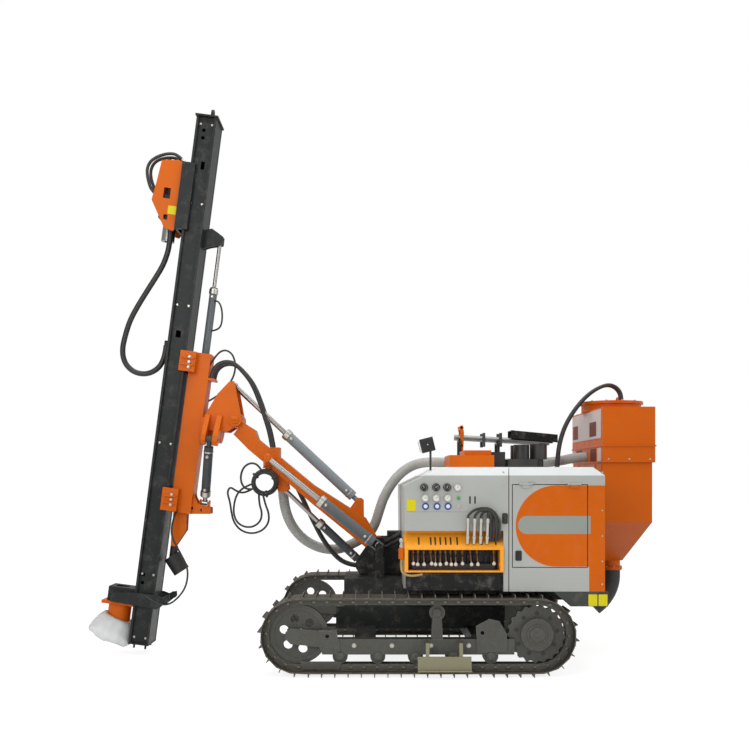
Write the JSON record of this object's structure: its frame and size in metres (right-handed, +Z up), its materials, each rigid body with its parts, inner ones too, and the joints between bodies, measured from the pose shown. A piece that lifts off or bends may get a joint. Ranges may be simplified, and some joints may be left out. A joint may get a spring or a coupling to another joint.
{
  "type": "hydraulic crawler drilling rig",
  "caption": "Crawler drilling rig with a swinging boom, a leaning mast with a sliding rotary head, side lever console, engine housing and dust collector.",
  "frame": {"origin": "on the ground, midway between the tracks and midway along them", "axes": "+X forward to the mast, +Y to the operator's left side with the levers, +Z up"},
  "size_m": [5.0649, 2.26, 4.832],
  "materials": {
    "orange_paint": "satin",
    "grey_panel": "satin",
    "dark_paint": "satin",
    "black_paint": "satin",
    "track_steel": "matt",
    "chrome_rod": "matt",
    "engine_alloy": "matt",
    "rubber_black": "matt",
    "suction_plastic": "matt",
    "skirt_plastic": "matt",
    "bright_steel": "matt",
    "black_plastic": "matt"
  },
  "bodies": {
    "chassis": {"chassis_frame": "black_paint", "boom_base": "black_paint", "control_housing": "grey_panel", "engine_housing": "grey_panel", "engine_block": "engine_alloy", "lever_console": "orange_paint", "console_levers": "bright_steel", "oil_cooler": "orange_paint", "air_cleaners": "black_plastic", "rod_rack": "black_paint", "spare_rods": "bright_steel", "work_lamp": "black_plastic", "collector_body": "orange_paint", "collector_box": "orange_paint", "collector_elbow": "rubber_black", "footstep": "bright_steel", "track_left": "track_steel", "track_right": "track_steel", "track_frame_left": "track_steel", "track_frame_right": "track_steel", "sprockets": "track_steel", "idlers": "track_steel", "track_rollers": "track_steel", "suction_roof": "suction_plastic", "collector_hoses": "rubber_black", "base_hoses": "rubber_black"},
    "door_left": {"side_door_left": "orange_paint"},
    "door_right": {"side_door_right": "orange_paint"},
    "swing_bracket": {"swing_bracket": "black_paint"},
    "boom": {"boom": "orange_paint", "hose_coil": "rubber_black", "suction_front": "suction_plastic", "boom_drape_hoses": "rubber_black"},
    "boom_head": {"boom_head": "orange_paint", "head_boom_hoses": "rubber_black"},
    "cradle": {"cradle": "orange_paint", "dust_elbow": "rubber_black", "extension_barrel": "dark_paint", "cradle_hoses": "rubber_black"},
    "mast": {"mast": "dark_paint", "extension_rod": "chrome_rod", "foot_clamp": "dark_paint", "dust_hood": "orange_paint", "dust_skirt": "skirt_plastic"},
    "rotary_carriage": {"carriage": "black_paint", "head_guard": "orange_paint", "rotary_head": "dark_paint", "head_hose": "rubber_black"},
    "spindle": {"spindle": "bright_steel"},
    "lift_barrel": {"lift_barrel": "dark_paint"},
    "lift_rod": {"lift_rod": "chrome_rod"},
    "tilt_barrel": {"tilt_barrel": "dark_paint"},
    "tilt_rod": {"tilt_rod": "chrome_rod"},
    "mast_swing_barrel": {"mast_swing_barrel": "dark_paint"},
    "mast_swing_rod": {"mast_swing_rod": "chrome_rod"},
    "boom_swing_knuckle": {"boom_swing_knuckle": "black_paint"},
    "boom_swing_barrel": {"boom_swing_barrel": "dark_paint"},
    "boom_swing_rod": {"boom_swing_rod": "chrome_rod"}
  },
  "joints": [
    {"name": "boom_swing", "type": "hinge", "parent": "chassis", "child": "swing_bracket", "pos_m": [0.16, 0, 0.87], "axis": [0, 0, 1], "range_deg": [-20, 20], "deforming": ["base_hoses", "suction_roof"]},
    {"name": "boom_lift", "type": "hinge", "parent": "swing_bracket", "child": "boom", "pos_m": [0.3, 0, 0.96], "axis": [0, -1, 0], "range_deg": [-38, 12], "deforming": ["boom_drape_hoses", "suction_front"]},
    {"name": "head_tilt", "type": "hinge", "parent": "boom", "child": "boom_head", "pos_m": [1.565, 0, 2.067], "axis": [0, -1, 0], "range_deg": [-20, 65], "deforming": ["head_boom_hoses"]},
    {"name": "mast_swing", "type": "hinge", "parent": "boom_head", "child": "cradle", "pos_m": [1.86007, 0, 1.98695], "axis": [-0.9916, 0, -0.1291], "range_deg": [-3, 35], "deforming": ["cradle_hoses"]},
    {"name": "mast_extend", "type": "slide", "parent": "cradle", "child": "mast", "axis": [-0.1291, 0, 0.9916], "range_m": [-0.25, 0.5]},
    {"name": "head_feed", "type": "slide", "parent": "mast", "child": "rotary_carriage", "axis": [0.1291, 0, -0.9916], "range_m": [-0.33, 3.05], "deforming": ["head_hose"]},
    {"name": "spindle_turn", "type": "hinge", "parent": "rotary_carriage", "child": "spindle", "pos_m": [2.15904, 0, 3.83403], "axis": [0.1291, 0, -0.9916], "continuous": true},
    {"name": "door_left_open", "type": "hinge", "parent": "chassis", "child": "door_left", "pos_m": [0, 1.008, 1.506], "axis": [1, 0, 0], "range_deg": [0, 88]},
    {"name": "door_right_open", "type": "hinge", "parent": "chassis", "child": "door_right", "pos_m": [0, -1.008, 1.506], "axis": [-1, 0, 0], "range_deg": [0, 88]},
    {"name": "lift_barrel_turn", "type": "hinge", "parent": "swing_bracket", "child": "lift_barrel", "pos_m": [0.44, 0, 0.785], "axis": [0, -1, 0], "range_deg": [-39.97, 12.97]},
    {"name": "lift_rod_run", "type": "slide", "parent": "lift_barrel", "child": "lift_rod", "axis": [0.7244, 0, 0.6894], "range_m": [-0.1464, 0.0476]},
    {"name": "tilt_barrel_turn", "type": "hinge", "parent": "boom", "child": "tilt_barrel", "pos_m": [0.479, 0, 1.341], "axis": [0, -1, 0], "range_deg": [-2.39, 6.65]},
    {"name": "tilt_rod_run", "type": "slide", "parent": "tilt_barrel", "child": "tilt_rod", "axis": [0.731, 0, 0.6824], "range_m": [-0.3084, 0.0963]},
    {"name": "mast_swing_barrel_turn", "type": "hinge", "parent": "boom_head", "child": "mast_swing_barrel", "pos_m": [1.77448, 0.21, 1.89311], "axis": [-0.9916, 0, -0.1291], "range_deg": [-3.3, 33.17]},
    {"name": "mast_swing_rod_run", "type": "slide", "parent": "mast_swing_barrel", "child": "mast_swing_rod", "axis": [0.126, -0.3478, -0.929], "range_m": [-0.0135, 0.1356]},
    {"name": "boom_swing_knuckle_turn", "type": "hinge", "parent": "chassis", "child": "boom_swing_knuckle", "pos_m": [0.3, 0.33, 0.96], "axis": [0, -1, 0], "range_deg": [-38.5, 12.5]},
    {"name": "boom_swing_barrel_turn", "type": "hinge", "parent": "boom_swing_knuckle", "child": "boom_swing_barrel", "pos_m": [0.3, 0.33, 0.96], "axis": [-0.6246, -0.1415, 0.768], "range_deg": [-18.16, 18.16]},
    {"name": "boom_swing_rod_run", "type": "slide", "parent": "boom_swing_barrel", "child": "boom_swing_rod", "axis": [0.7804, -0.0767, 0.6206], "range_m": [-0.0941, 0.0941]}
  ],
  "couplings": [
    {"joint": "lift_barrel_turn", "follows": "boom_lift", "ratio": 1.0388},
    {"joint": "lift_rod_run", "follows": "boom_lift", "m_per_rad": 0.21773},
    {"joint": "tilt_barrel_turn", "follows": "head_tilt", "ratio": 0.0946},
    {"joint": "tilt_rod_run", "follows": "head_tilt", "m_per_rad": -0.27007},
    {"joint": "mast_swing_barrel_turn", "follows": "mast_swing", "ratio": 0.9335},
    {"joint": "mast_swing_rod_run", "follows": "mast_swing", "m_per_rad": 0.2187},
    {"joint": "boom_swing_knuckle_turn", "follows": "boom_lift", "ratio": 1},
    {"joint": "boom_swing_barrel_turn", "follows": "boom_swing", "ratio": 0.8832},
    {"joint": "boom_swing_rod_run", "follows": "boom_swing", "m_per_rad": -0.26385}
  ]
}
